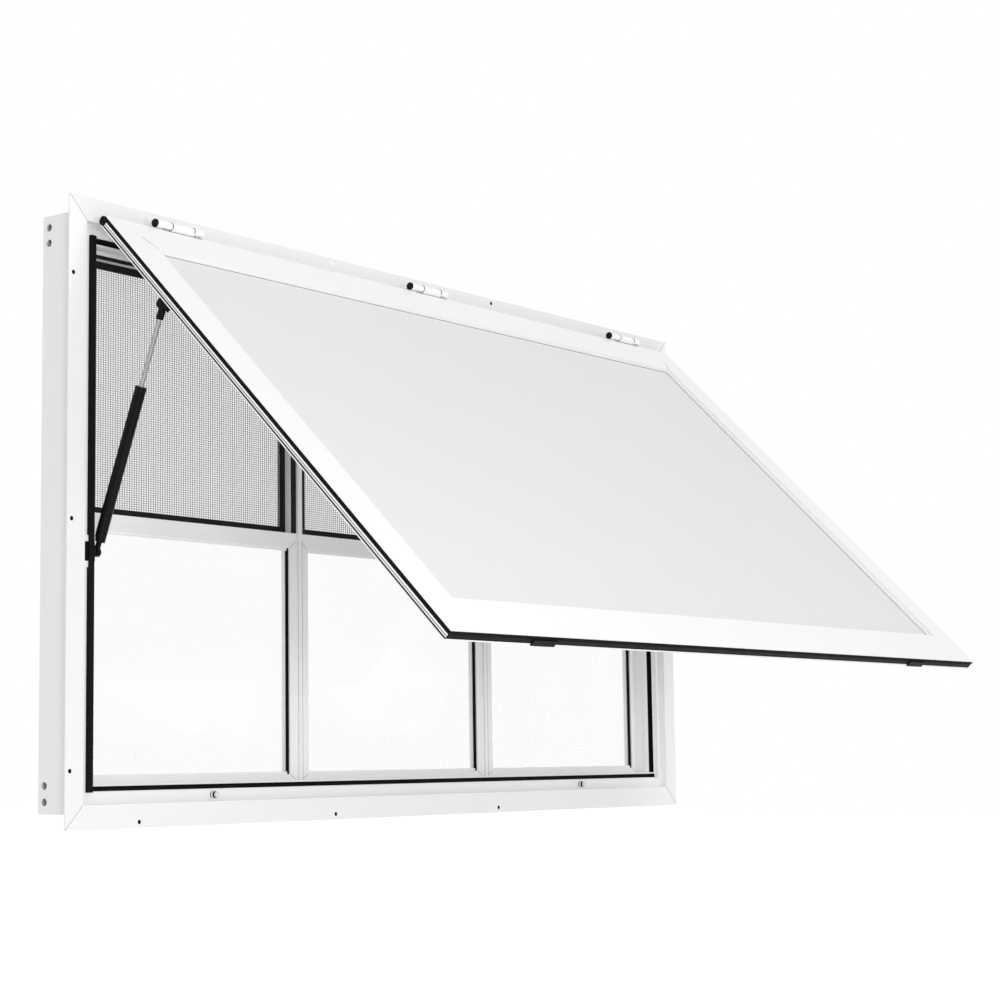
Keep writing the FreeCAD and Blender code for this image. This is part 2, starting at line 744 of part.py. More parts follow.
def on_strut(body, sign, lift=None):
    """Stands a piece drawn up the strut's axis on the strut's foot pivot."""
    turned = FreeCAD.Rotation(FreeCAD.Vector(1, 0, 0), 10.0)
    body.Placement = FreeCAD.Placement(FreeCAD.Vector(0, 0, 0), turned)
    bind(body, "Placement.Base.x", f"({sign}) * {STRUT_X}")
    bind(body, "Placement.Base.y", HEAD_Y if lift else "strut_foot_set")
    bind(body, "Placement.Base.z", HEAD_Z if lift else FOOT_Z)
    bind(body, "Placement.Rotation.Angle", STRUT_LEAN)


def cross_bore(body, radius):
    """A round hole along X through the piece's own pivot."""
    sketch = new_sketch(body, "YZ_Plane")
    add_circle(sketch, ("0", "0"), radius)
    pocket(body, sketch, "4 * strut_radius")


def make_strut_cylinder(name, sign):
    """The pressure tube: a turned shell with a gland at the top and an eye below."""
    body = new_body(f"strut_{name}_cylinder")
    bore = "rod_radius + rod_clearance"
    revolve(body, [
        ("0", "eye_radius - strut_floor / 2"),
        ("eye_neck_radius", "eye_radius - strut_floor / 2"),
        ("eye_neck_radius", "strut_start"),
        ("strut_radius", "strut_start"),
        ("strut_radius", "strut_end"),
        (bore, "strut_end"),
        (bore, "strut_end - strut_gland"),
        ("strut_bore", "strut_end - strut_gland"),
        ("strut_bore", "strut_start + strut_floor"),
        ("0", "strut_start + strut_floor"),
    ])
    eye = new_sketch(body, "YZ_Plane")
    add_circle(eye, ("0", "0"), "eye_radius")
    pad(body, eye, "eye_width", symmetric=True)
    cross_bore(body, "pivot_pin_radius + pivot_clearance")
    on_strut(body, sign)


def make_strut_rod(name, sign):
    """The bright rod with its piston, which runs inside the tube."""
    body = new_body(f"strut_{name}_rod")
    revolve(body, [
        ("0", "rod_start"),
        ("strut_bore - piston_clearance", "rod_start"),
        ("strut_bore - piston_clearance", "rod_start + piston_length"),
        ("rod_radius", "rod_start + piston_length"),
        ("rod_radius", ROD_TIP),
        ("0", ROD_TIP),
    ])
    on_strut(body, sign)


def make_end_fitting(name, sign):
    """The socket that takes the rod's tip, with an eye on the door bracket's pin."""
    body = new_body(f"strut_{name}_end_fitting")
    revolve(body, [
        ("0", "-fitting_length"),
        ("fitting_neck_radius", "-fitting_length"),
        ("fitting_neck_radius", "-eye_radius / 2"),
        ("0", "-eye_radius / 2"),
    ])
    eye = new_sketch(body, "YZ_Plane")
    add_circle(eye, ("0", "0"), "fitting_eye_radius")
    pad(body, eye, "fitting_eye_width", symmetric=True)
    cross_bore(body, "pivot_pin_radius + pivot_clearance")
    on_strut(body, sign, lift=True)


def signed_span(sign, near, far):
    """A stretch across the window on one side, from near the middle to far from it."""
    return (f"-({far})", f"-({near})") if sign < 0 else (near, far)


def make_foot_bracket(name, sign):
    """The angle bracket on the rebate: a foot, an ear beside the tube and the pivot pin."""
    body = new_body(f"strut_{name}_foot_bracket")
    ear = f"({STRUT_X} + eye_width / 2 + bracket_gap)"
    foot_far = f"({HALF_WIDTH} - flange_face - bracket_rebate_play)"
    low = f"{FOOT_Z} - bracket_height / 2"
    high = f"{FOOT_Z} + bracket_height / 2"
    front = "rebate_depth - bracket_plate"
    first, last = signed_span(sign, f"{ear} + bracket_plate", foot_far)
    slab(body, front, "rebate_depth", span(first, last, low, high))
    first, last = signed_span(sign, ear, f"{ear} + bracket_plate")
    side = "bracket_ear_height / 2"
    bar_along(body, first, last, span(front, "strut_foot_set + pivot_pin_radius + pivot_edge",
                                      f"{FOOT_Z} - {side}", f"{FOOT_Z} + {side}"))
    first, last = signed_span(sign, f"{STRUT_X} - eye_width / 2 - bracket_plate / 2",
                              f"{ear} + bracket_plate")
    sketch = new_sketch(body, "YZ_Plane", first)
    add_circle(sketch, ("strut_foot_set", FOOT_Z), "pivot_pin_radius")
    pad(body, sketch, f"{last} - ({first})")


def make_door_bracket(name, sign):
    """The bracket behind the door's stile: a foot, an ear and the pin for the fitting."""
    body = new_body(f"strut_{name}_door_bracket")
    ear = f"({STRUT_X} - fitting_eye_width / 2 - bracket_plate - open_pivot_gap)"
    foot_half = "door_bracket_height / 2"
    first, last = signed_span(sign, ear, f"{STRUT_X} + fitting_eye_width / 2")
    slab(body, DOOR_BACK, f"{DOOR_BACK} + bracket_plate",
         span(first, last, f"-strut_head_drop - {foot_half}", f"-strut_head_drop + {foot_half}"))
    first, last = signed_span(sign, ear, f"{ear} + bracket_plate")
    bar_along(body, first, last,
              span(DOOR_BACK, "strut_head_set + fitting_eye_radius",
                   "-strut_head_drop - fitting_eye_radius", "-strut_head_drop + fitting_eye_radius"))
    first, last = signed_span(sign, ear, f"{STRUT_X} + fitting_eye_width / 2 + open_pivot_gap")
    sketch = new_sketch(body, "YZ_Plane", first)
    add_circle(sketch, ("strut_head_set", "-strut_head_drop"), "pivot_pin_radius")
    pad(body, sketch, f"{last} - ({first})")
    on_door(body)


def make_struts():
    for name, sign in SIDES:
        make_strut_cylinder(name, sign)
        make_strut_rod(name, sign)
        make_end_fitting(name, sign)
        make_foot_bracket(name, sign)
        make_door_bracket(name, sign)


def make_catches():
    """Two striker studs on the sill's rebate and two catch plates under the door's edge."""
    studs = []
    locks = []
    for name, sign in SIDES:
        stud = new_body(f"stud_{name}", is_node=False)
        revolve(stud, [
            ("0", "0"),
            ("stud_base_radius", "0"),
            ("stud_base_radius", "stud_base_length"),
            ("stud_waist_radius", "stud_base_length"),
            ("stud_waist_radius", "stud_base_length + stud_waist_length"),
            ("stud_radius", "stud_base_length + stud_waist_length"),
            ("stud_radius", "stud_length"),
            ("0", "stud_length"),
        ])
        forward = FreeCAD.Rotation(FreeCAD.Vector(1, 0, 0), 90)
        stud.Placement = FreeCAD.Placement(FreeCAD.Vector(0, 0, 0), forward)
        bind(stud, "Placement.Base.x", f"({sign}) * {STUD_X}")
        bind(stud, "Placement.Base.y", "rebate_depth")
        bind(stud, "Placement.Base.z", f"{LOW} + flange_face + stud_inset")
        studs.append(stud)
        lock = new_body(f"lock_{name}", is_node=False)
        first, last = signed_span(sign, f"{LOCK_X} - lock_width / 2", f"{LOCK_X} + lock_width / 2")
        slab(lock, GASKET_BACK, DOOR_BACK, span(first, last, f"{DOOR_LOW} - lock_height", DOOR_LOW))
        on_door(lock)
        locks.append(lock)
    group("latch_studs", studs)
    group("door_locks", locks)


def check_and_write():
    """Stops if anything failed to build, then writes one file for each sub-part."""
    doc.recompute()
    failed = [item.Name for item in doc.Objects if {"Invalid", "Error"} & set(item.State)]
    failed += [node.Label for node in nodes if node.Shape.isNull() or not node.Shape.isValid()]
    if failed:
        raise RuntimeError("these failed to build: " + ", ".join(failed))
    os.makedirs("parts", exist_ok=True)
    for node in nodes:
        node.Shape.exportStep(f"parts/{node.Label}.step")


make_sheet()
make_frame()
make_seal()
make_posts()
make_lower_sashes()
make_upper_frames()
make_door()
make_corner_plugs()
make_hinges()
make_struts()
make_catches()
check_and_write()
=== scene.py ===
import json
import math

import bmesh
import bpy
from mathutils import Matrix, Vector


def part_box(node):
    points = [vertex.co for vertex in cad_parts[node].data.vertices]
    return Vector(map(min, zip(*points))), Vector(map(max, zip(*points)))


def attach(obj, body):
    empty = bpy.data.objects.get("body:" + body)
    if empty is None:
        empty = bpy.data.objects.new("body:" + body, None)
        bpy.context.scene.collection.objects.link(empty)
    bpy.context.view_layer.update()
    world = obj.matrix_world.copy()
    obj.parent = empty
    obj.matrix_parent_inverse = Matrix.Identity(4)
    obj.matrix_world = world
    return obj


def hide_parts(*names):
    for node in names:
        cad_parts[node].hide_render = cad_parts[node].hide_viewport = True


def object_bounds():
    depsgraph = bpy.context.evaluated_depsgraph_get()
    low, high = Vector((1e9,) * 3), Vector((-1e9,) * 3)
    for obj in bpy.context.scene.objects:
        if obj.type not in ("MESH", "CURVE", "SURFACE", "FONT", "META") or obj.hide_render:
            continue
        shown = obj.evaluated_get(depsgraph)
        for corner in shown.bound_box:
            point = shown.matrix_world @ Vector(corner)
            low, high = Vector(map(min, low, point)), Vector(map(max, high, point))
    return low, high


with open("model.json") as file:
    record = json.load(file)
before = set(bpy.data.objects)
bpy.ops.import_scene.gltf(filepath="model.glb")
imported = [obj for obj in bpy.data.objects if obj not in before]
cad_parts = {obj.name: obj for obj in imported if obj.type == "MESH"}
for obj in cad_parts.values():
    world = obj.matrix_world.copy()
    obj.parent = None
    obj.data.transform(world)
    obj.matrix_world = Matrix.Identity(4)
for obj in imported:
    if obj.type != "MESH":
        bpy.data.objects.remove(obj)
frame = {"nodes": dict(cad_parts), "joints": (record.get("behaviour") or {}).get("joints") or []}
CAD_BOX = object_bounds()
NODES = frame["nodes"]
JOINTS = {joint["name"]: joint for joint in frame["joints"]}
MM = 0.001

# The photograph's camera, solved from the flange's corners and the door's edges
PHOTO_WIDTH = 1000
FOCAL_PIXELS = 2281.7
CENTRE_PIXEL = (300.0, 465.5)
CAMERA_PLACE = (-3605.2 * MM, -2720.4 * MM, 123.8 * MM)
CAMERA_YAW = -0.8732
CAMERA_PITCH = 0.1223
CAMERA_ROLL = 0.0046
SENSOR_WIDTH = 36.0

# Floor level below the sill, as at a serving counter
FLOOR_DROP = 0.95
FLOOR_SIZE = 60.0

# Light: the surround, how much the floor is lifted for the camera, and the lamps as name, place,
# size across and power
AMBIENT = 0.7
FLOOR_LIFT = 0.45
LAMPS = (
    ("key", (1.6, -4.6, 4.2), 1.8, 54.0),
    ("front", (-1.9, -4.4, 0.3), 1.0, 28.0),
    ("side", (-3.4, -3.2, 0.5), 1.2, 42.0),
)
LAMP_TARGET = (0.0, -0.3, 0.5)
FLOOR_COLOUR = (0.9, 0.9, 0.9, 1.0)
CLEAR_WHITE = (1.0, 1.0, 1.0, 1.0)
SIGHT_LIMIT = 200.0

# The two tones that a white coat drifts between, and the black of rubber and paint
LIGHT_COAT = (0.905, 0.905, 0.9)
SHADED_COAT = (0.88, 0.88, 0.878)
BLACK_TONE = (0.006, 0.006, 0.007)

# The corners of the frame with its flange
FLANGE_BOX = (
    Vector((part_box("frame_left_jamb")[0].x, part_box("frame_sill")[0].y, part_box("frame_sill")[0].z)),
    Vector((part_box("frame_right_jamb")[1].x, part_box("frame_sill")[1].y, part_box("frame_head")[1].z)),
)

# The part of the noise that drives roughness
NOISE_RANGE = (0.3, 0.7)

# Insect screen: pitches and wire radii, and how deep the mesh sits in its frame's groove
UPRIGHT_PITCH = 6.06 * MM
LEVEL_PITCH = 4.0 * MM
UPRIGHT_RADIUS = 0.62 * MM
LEVEL_RADIUS = 0.5 * MM
WIRE_SIDES = 6
SCREEN_BAR = 12.0 * MM
SCREEN_GROOVE = 3.5 * MM

# Thin lines: where two bars meet, and the painted shadow round the recessed door panel
JOINT_LINE = 0.8 * MM
LINE_PROUD = 0.12 * MM
LINE_END = 0.5 * MM
PANEL_SHADOW_WIDTH = 0.8 * MM

# The frame's own sizes that the small pieces need
FLANGE_FACE = 41.0 * MM
HOLE_INSET = 10.0 * MM
HOLE_STEPS = (-790.5 * MM, -263.5 * MM, 263.5 * MM, 790.5 * MM)
SIDE_HOLE_HEIGHTS = (84.5 * MM, 501.5 * MM, 918.5 * MM)
SCREW_RADIUS = 3.9 * MM
SCREW_RISE = 0.9 * MM
SEAL_BLACK = (891.4 * MM, 899.2 * MM)
SEAL_WIDTH = 13.0 * MM
SOFT_LIP_REACH = 10.0 * MM
SOFT_LIP_WIDTH = 11.0 * MM
THIN_LIP_WIDTH = 2.0 * MM
FLAT_SEAL_BLACK = (1.5 * MM, 9.5 * MM)
SEAL_LINE = (902.4 * MM, 904.4 * MM)

# The bays: their pitch, and half of a bay less its bars
BAY_PITCH = 599.67 * MM
BAY_HALF = 293.33 * MM
UPPER_BAR = 13.0 * MM
SASH_STILE = 20.0 * MM
SASH_BOTTOM_RAIL = 12.0 * MM
SASH_TOP_RAIL = 16.0 * MM
BEAD_WIDTH = 5.5 * MM

# The door, measured from the hinge axis as it hangs closed
DOOR_BAR = 75.0 * MM
DOOR_FACE = 5.0 * MM
DOOR_BACK = 25.0 * MM
DOOR_TOP = -8.0 * MM
DOOR_FOOT = -1027.0 * MM
DOOR_HALF = 910.0 * MM
GASKET_START = 6.5 * MM
BAND_END = 20.0 * MM
SKIN = 0.4 * MM
STILE_LINES = ((16.6 * MM, 18.0 * MM), (22.0 * MM, 23.0 * MM))
END_CAP_RADIUS = 8.5 * MM
CORNER_MARK = (20.0 * MM, 30.0 * MM)

# The black socket in the middle of a strut's foot plate
FOOT_SOCKET = (434.0 * MM, 467.0 * MM)

# A latch stud's painted shade: where the shadow on its base starts, and the dark band round its waist
# from front to back
STUD_SHADOW_START = 10.0 * MM
STUD_WAIST_SHADE = (3.0 * MM, 6.5 * MM)

# Hinge barrels: cap, knuckles and the dark washers between them, and the painted shadow under each barrel
HINGE_PLACES = (-731.0 * MM, 0.0, 731.0 * MM)
HINGE_HALF = 61.5 * MM
CAP_BLACK = 6.0 * MM
CAP_LENGTH = 20.0 * MM
WASHERS = (-18.25 * MM, 38.25 * MM)
WASHER_HALF = 0.9 * MM
KNUCKLE_RADIUS = 7.0 * MM
WASHER_RADIUS = 7.35 * MM
WASHER_FIT = 0.02 * MM
HINGE_SHADOW_WIDTH = 1.6 * MM

# Profiles of turned pieces, as pairs of radius and height
END_CAP_PROFILE = ((0.0, 1.6 * MM), (5.5 * MM, 1.6 * MM), (7.4 * MM, 1.2 * MM),
                   (END_CAP_RADIUS, 0.2 * MM), (END_CAP_RADIUS, -0.2 * MM), (0.0, -0.2 * MM))
SCREW_PROFILE = ((0.0, SCREW_RISE), (0.4 * SCREW_RADIUS, 0.9 * SCREW_RISE),
                 (0.75 * SCREW_RADIUS, 0.6 * SCREW_RISE), (SCREW_RADIUS, 0.0),
                 (SCREW_RADIUS, -LINE_PROUD), (0.0, -LINE_PROUD))
WASHER_PROFILE = ((KNUCKLE_RADIUS + WASHER_FIT, -WASHER_HALF), (WASHER_RADIUS, -WASHER_HALF),
                  (WASHER_RADIUS, WASHER_HALF), (KNUCKLE_RADIUS + WASHER_FIT, WASHER_HALF))


def new_material(name):
    """A new material with its node tree and its main shader."""
    material = bpy.data.materials.new(name)
    material.use_nodes = True
    return material, material.node_tree, material.node_tree.nodes["Principled BSDF"]


def noise(tree, scale, detail=3.0, roughness=0.5):
    """Noise that stays fixed to the object, in metres."""
    where = tree.nodes.new("ShaderNodeTexCoord")
    texture = tree.nodes.new("ShaderNodeTexNoise")
    texture.inputs["Scale"].default_value = scale
    texture.inputs["Detail"].default_value = detail
    texture.inputs["Roughness"].default_value = roughness
    tree.links.new(where.outputs["Object"], texture.inputs["Vector"])
    return texture


def spread(tree, source, low, high):
    """Maps a 0 to 1 value to the range from low to high."""
    node = tree.nodes.new("ShaderNodeMapRange")
    node.inputs["From Min"].default_value = NOISE_RANGE[0]
    node.inputs["From Max"].default_value = NOISE_RANGE[1]
    node.inputs["To Min"].default_value = low
    node.inputs["To Max"].default_value = high
    tree.links.new(source, node.inputs["Value"])
    return node.outputs["Result"]


def tint(tree, source, dark, light):
    """Blends between two near colours."""
    node = tree.nodes.new("ShaderNodeMix")
    node.data_type = "RGBA"
    node.inputs["A"].default_value = (*dark, 1.0)
    node.inputs["B"].default_value = (*light, 1.0)
    tree.links.new(source, node.inputs["Factor"])
    return node.outputs["Result"]


def bump(tree, shader, source, strength, distance):
    """Lets a value raise and lower the surface by up to a distance in metres."""
    node = tree.nodes.new("ShaderNodeBump")
    node.inputs["Strength"].default_value = strength
    node.inputs["Distance"].default_value = distance
    tree.links.new(source, node.inputs["Height"])
    tree.links.new(node.outputs["Normal"], shader.inputs["Normal"])


def place(tree, axis, on_door=False):
    """A point's own coordinate along X, Y or Z; on the door, as if it hung closed."""
    where = tree.nodes.new("ShaderNodeTexCoord")
    parts = tree.nodes.new("ShaderNodeSeparateXYZ")
    source = where.outputs["Object"]
    if on_door:
        turn = tree.nodes.new("ShaderNodeMapping")
        turn.vector_type = "TEXTURE"
        turn.inputs["Location"].default_value = JOINTS["door_hinge"]["pos_m"]
        turn.inputs["Rotation"].default_value = (door_angle(), 0.0, 0.0)
        tree.links.new(source, turn.inputs["Vector"])
        source = turn.outputs["Vector"]
    tree.links.new(source, parts.inputs["Vector"])
    return parts.outputs[axis]


def reckon(tree, operation, first, second=None):
    """One step of arithmetic on shader values; a number may stand for either."""
    node = tree.nodes.new("ShaderNodeMath")
    node.operation = operation
    for index, item in enumerate((first, second)):
        if isinstance(item, (int, float)):
            node.inputs[index].default_value = item
        elif item is not None:
            tree.links.new(item, node.inputs[index])
    return node.outputs["Value"]


def between(tree, value, low, high):
    """1 where a value lies between two limits, else 0."""
    over = reckon(tree, "GREATER_THAN", value, low)
    under = reckon(tree, "LESS_THAN", value, high)
    return reckon(tree, "MULTIPLY", over, under)


def from_bay_centre(tree):
    """How far a point lies to the right of its own bay's centre."""
    across = place(tree, "X")
    bay = reckon(tree, "ROUND", reckon(tree, "DIVIDE", across, BAY_PITCH))
    return reckon(tree, "SUBTRACT", across, reckon(tree, "MULTIPLY", bay, BAY_PITCH))


def powder_coat(name, light, dark, gloss=0.42, shine=0.25, second=None, where=None):
    """Baked powder paint: a fine orange-peel skin with faint drifts of tone and sheen.

    Where a mask is given, the second colour takes the place of the first there.
    """
    material, tree, shader = new_material(name)
    drift = noise(tree, 3.0)
    peel = noise(tree, 900.0, detail=2.0)
    cloud = noise(tree, 24.0)
    colour = tint(tree, drift.outputs["Fac"], dark, light)
    shader.inputs["Specular IOR Level"].default_value = shine
    if where:
        blend = tree.nodes.new("ShaderNodeMix")
        blend.data_type = "RGBA"
        blend.inputs["B"].default_value = (*second, 1.0)
        tree.links.new(colour, blend.inputs["A"])
        tree.links.new(where(tree), blend.inputs["Factor"])
        colour = blend.outputs["Result"]
    tree.links.new(colour, shader.inputs["Base Color"])
    tree.links.new(spread(tree, cloud.outputs["Fac"], gloss - 0.05, gloss + 0.07),
                   shader.inputs["Roughness"])
    bump(tree, shader, peel.outputs["Fac"], 0.12, 0.0002)
    return material


def rubber():
    """Extruded black rubber: matt, with faint drag marks."""
    material, tree, shader = new_material("black_rubber_seal")
    grain = noise(tree, 700.0)
    cloud = noise(tree, 20.0)
    tree.links.new(tint(tree, cloud.outputs["Fac"], (0.006, 0.006, 0.007), (0.014, 0.014, 0.015)),
                   shader.inputs["Base Color"])
    tree.links.new(spread(tree, cloud.outputs["Fac"], 0.5, 0.68), shader.inputs["Roughness"])
    bump(tree, shader, grain.outputs["Fac"], 0.2, 0.0002)
    shader.inputs["Specular IOR Level"].default_value = 0.03
    return material


def black_coat(name, roughness, tone, shine):
    """Black enamel on metal, with a soft shine."""
    material, tree, shader = new_material(name)
    grain = noise(tree, 600.0)
    cloud = noise(tree, 40.0)
    deep = (tone, tone, tone)
    pale = (1.6 * tone, 1.6 * tone, 1.65 * tone)
    tree.links.new(tint(tree, cloud.outputs["Fac"], deep, pale), shader.inputs["Base Color"])
    tree.links.new(spread(tree, cloud.outputs["Fac"], roughness - 0.05, roughness + 0.06),
                   shader.inputs["Roughness"])
    bump(tree, shader, grain.outputs["Fac"], 0.1, 0.0001)
    shader.inputs["Specular IOR Level"].default_value = shine
    return material


def metal(name, colour, roughness, grain_scale, grain_strength, edge=1.0):
    """Bare metal with fine drawn marks; edge is how bright it stays at a glancing angle."""
    material, tree, shader = new_material(name)
    where = tree.nodes.new("ShaderNodeTexCoord")
    stretch = tree.nodes.new("ShaderNodeMapping")
    stretch.inputs["Scale"].default_value = grain_scale
    drawn = tree.nodes.new("ShaderNodeTexNoise")
    drawn.inputs["Scale"].default_value = 1.0
    drawn.inputs["Detail"].default_value = 3.0
    tree.links.new(where.outputs["Object"], stretch.inputs["Vector"])
    tree.links.new(stretch.outputs["Vector"], drawn.inputs["Vector"])
    darker = tuple(0.88 * part for part in colour)
    tree.links.new(tint(tree, drawn.outputs["Fac"], darker, colour), shader.inputs["Base Color"])
    tree.links.new(spread(tree, drawn.outputs["Fac"], roughness - 0.05, roughness + 0.08),
                   shader.inputs["Roughness"])
    bump(tree, shader, drawn.outputs["Fac"], grain_strength, 0.0001)
    shader.inputs["Metallic"].default_value = 1.0
    shader.inputs["Specular Tint"].default_value = (edge, edge, edge, 1.0)
    return material


def clear_glass():
    """Float glass with a faint cool tint and barely uneven polish."""
    material, tree, shader = new_material("clear_float_glass")
    wave = noise(tree, 6.0)
    tree.links.new(tint(tree, wave.outputs["Fac"], (0.985, 0.995, 0.992), (0.99, 1.0, 0.997)),
                   shader.inputs["Base Color"])
    tree.links.new(spread(tree, wave.outputs["Fac"], 0.0, 0.02), shader.inputs["Roughness"])
    shader.inputs["Transmission Weight"].default_value = 1.0
    shader.inputs["IOR"].default_value = 1.45
    shader.inputs["Alpha"].default_value = 0.07
    return material


def paint(material, *names):
    """Gives a CAD node's own object a material, in every slot it has."""
    for name in names:
        for slot in NODES[name].material_slots:
            slot.link = "OBJECT"
            slot.material = material


def names_like(*starts):
    """The names of the CAD nodes that begin with one of the given words."""
    return [name for name in NODES if name.startswith(starts)]


def mesh_piece(name, build, material, body):
    """Makes a mesh object from a bmesh builder and lets it ride on a body."""
    mesh = bpy.data.meshes.new(name)
    work = bmesh.new()
    build(work)
    bmesh.ops.recalc_face_normals(work, faces=work.faces)
    work.to_mesh(mesh)
    work.free()
    piece = bpy.data.objects.new(name, mesh)
    bpy.context.scene.collection.objects.link(piece)
    piece.data.materials.append(material)
    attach(piece, body)
    return piece


def add_box(work, low, high, turn=None):
    """A closed box between two corners, turned by a matrix if one is given."""
    corners = [Vector((x, y, z)) for x in (low[0], high[0]) for y in (low[1], high[1])
               for z in (low[2], high[2])]
    points = [work.verts.new(turn @ corner if turn else corner) for corner in corners]
    for face in ((0, 1, 3, 2), (4, 6, 7, 5), (0, 4, 5, 1), (2, 3, 7, 6), (0, 2, 6, 4), (1, 5, 7, 3)):
        work.faces.new([points[index] for index in face])


def add_rod(work, start, along, length, radius, sides):
    """A straight closed rod of a few flat sides, along X or Z."""
    ends = []
    for reach in (0.0, length):
        ring = []
        for index in range(sides):
            angle = 2 * math.pi * (index + 0.5) / sides
            first, second = radius * math.cos(angle), radius * math.sin(angle)
            if along == "X":
                offset = (reach, first, second)
            else:
                offset = (first, second, reach)
            ring.append(work.verts.new(Vector(start) + Vector(offset)))
        ends.append(ring)
    for index in range(sides):
        after = (index + 1) % sides
        work.faces.new((ends[0][index], ends[0][after], ends[1][after], ends[1][index]))
    work.faces.new(ends[0])
    work.faces.new(ends[1])


def add_turned(work, profile, turn, sides=40):
    """A piece turned about its own Z axis from a profile of (radius, height) pairs.

    A profile that starts and ends on the axis is closed by its tips, any other by itself.
    """
    rings = []
    for radius, height in profile:
        ring = []
        for index in range(sides if radius else 1):
            angle = 2 * math.pi * index / sides
            point = Vector((radius * math.cos(angle), radius * math.sin(angle), height))
            ring.append(work.verts.new(turn @ point))
        rings.append(ring)
    pairs = list(zip(rings, rings[1:]))
    if len(rings[0]) > 1:
        pairs.append((rings[-1], rings[0]))
    for lower, upper in pairs:
        for index in range(sides):
            after = (index + 1) % sides
            if len(lower) == 1:
                work.faces.new((lower[0], upper[after], upper[index]))
            elif len(upper) == 1:
                work.faces.new((lower[index], lower[after], upper[0]))
            else:
                work.faces.new((lower[index], lower[after], upper[after], upper[index]))


def door_angle():
    """The turn about X, in radians, from the door hanging closed to the door held open."""
    return math.radians(JOINTS["door_hinge"]["range_deg"][0])


def door_matrix():
    """From the hinge's own frame, as if the door hung closed, to the door's open place."""
    axis = Vector(JOINTS["door_hinge"]["pos_m"])
    return Matrix.Translation(axis) @ Matrix.Rotation(door_angle(), 4, "X")


def make_mesh(material):
    """The insect screens: straight upright wires in front of straight level ones."""
    def build(work):
        middle = sum(corner.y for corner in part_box("screen_mesh")) / 2
        for bay in ("left", "centre", "right"):
            low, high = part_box(f"screen_frame_{bay}")
            inset = SCREEN_BAR - SCREEN_GROOVE
            left, right = low.x + inset, high.x - inset
            bottom, top = low.z + inset, high.z - inset
            front, back = middle - UPRIGHT_RADIUS / 2, middle + LEVEL_RADIUS / 2
            for number in range(1, int((right - left) / UPRIGHT_PITCH) + 1):
                foot = (left + number * UPRIGHT_PITCH, front, bottom)
                add_rod(work, foot, "Z", top - bottom, UPRIGHT_RADIUS, WIRE_SIDES)
            for number in range(1, int((top - bottom) / LEVEL_PITCH) + 1):
                start = (left, back, bottom + number * LEVEL_PITCH)
                add_rod(work, start, "X", right - left, LEVEL_RADIUS, WIRE_SIDES)
    piece = mesh_piece("woven_screens", build, material, "frame")
    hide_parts("screen_mesh")


def make_frame_joint_lines(material):
    """The fine open joints where the frame's flanges meet at 45 degrees."""
    low, high = FLANGE_BOX
    front = low.y - LINE_PROUD
    corners = ((low.x, low.z, 1, 1), (low.x, high.z, 1, -1),
               (high.x, low.z, -1, 1), (high.x, high.z, -1, -1))

    def build(work):
        reach = FLANGE_FACE * math.sqrt(2)
        for x, z, inward, upward in corners:
            angle = -math.atan2(upward, inward)
            turn = Matrix.Translation(Vector((x, 0, z))) @ Matrix.Rotation(angle, 4, "Y")
            add_box(work, (LINE_END, front, -JOINT_LINE / 2),
                    (reach - LINE_END, low.y + LINE_PROUD, JOINT_LINE / 2), turn)
    mesh_piece("flange_joint_lines", build, material, "frame")


def make_sash_joint_lines(material):
    """The mitre joints of the three lower sashes, and their joints with the mullions."""
    sash_low, sash_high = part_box("lower_sash_centre")
    front = sash_low.y

    def build(work):
        for bay in ("left", "centre", "right"):
            low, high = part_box(f"lower_sash_{bay}")
            for x, inward in ((low.x, 1), (high.x, -1)):
                for z, upward, rail in ((low.z, 1, SASH_BOTTOM_RAIL), (high.z, -1, SASH_TOP_RAIL)):
                    reach = math.hypot(SASH_STILE, rail)
                    angle = -math.atan2(upward * rail, inward * SASH_STILE)
                    turn = Matrix.Translation(Vector((x, 0, z))) @ Matrix.Rotation(angle, 4, "Y")
                    add_box(work, (JOINT_LINE, front - LINE_PROUD, -JOINT_LINE / 2),
                            (reach - JOINT_LINE, front + LINE_PROUD, JOINT_LINE / 2), turn)
        for side in ("left", "right"):
            low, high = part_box(f"mullion_{side}")
            for x in (low.x, high.x - JOINT_LINE):
                add_box(work, (x, low.y - LINE_PROUD, sash_low.z),
                        (x + JOINT_LINE, low.y + LINE_PROUD, sash_high.z))
    mesh_piece("sash_joint_lines", build, material, "frame")


def make_jamb_seals(left_material, right_material):
    """The soft lips that stand forward of the seal on both jambs, for the door to close on."""
    low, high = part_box("perimeter_seal")
    front, back = low.y - SOFT_LIP_REACH, low.y + LINE_PROUD

    def strip(first, last):
        def build(work):
            add_box(work, (first, front, low.z), (last, back, high.z))
        return build
    mesh_piece("soft_lip_left", strip(low.x, low.x + SOFT_LIP_WIDTH), left_material, "frame")
    mesh_piece("soft_lip_right", strip(high.x - THIN_LIP_WIDTH, high.x), right_material, "frame")


def make_screws(name, material, places):
    """Low domed screw heads over some of the flange's fixing holes."""
    front = FLANGE_BOX[0].y

    def build(work):
        for x, z in places:
            turn = Matrix.Translation(Vector((x, front, z))) @ Matrix.Rotation(math.radians(90), 4, "X")
            add_turned(work, SCREW_PROFILE, turn, sides=24)
    mesh_piece(name, build, material, "frame")


def make_all_screws(dark, pale):
    """Black screws where the photo shows them; the rest are white and hardly show."""
    low, high = FLANGE_BOX
    sill = [(x, low.z + HOLE_INSET) for x in HOLE_STEPS]
    head = [(x, high.z - HOLE_INSET) for x in HOLE_STEPS]
    left = [(low.x + HOLE_INSET, z) for z in SIDE_HOLE_HEIGHTS]
    right = [(high.x - HOLE_INSET, z) for z in SIDE_HOLE_HEIGHTS]
    black = sill[:3] + left + head[2:3]
    white = sill[3:] + right + head[:2] + head[3:]
    make_screws("dark_screws", dark, black)
    make_screws("white_screws", pale, white)


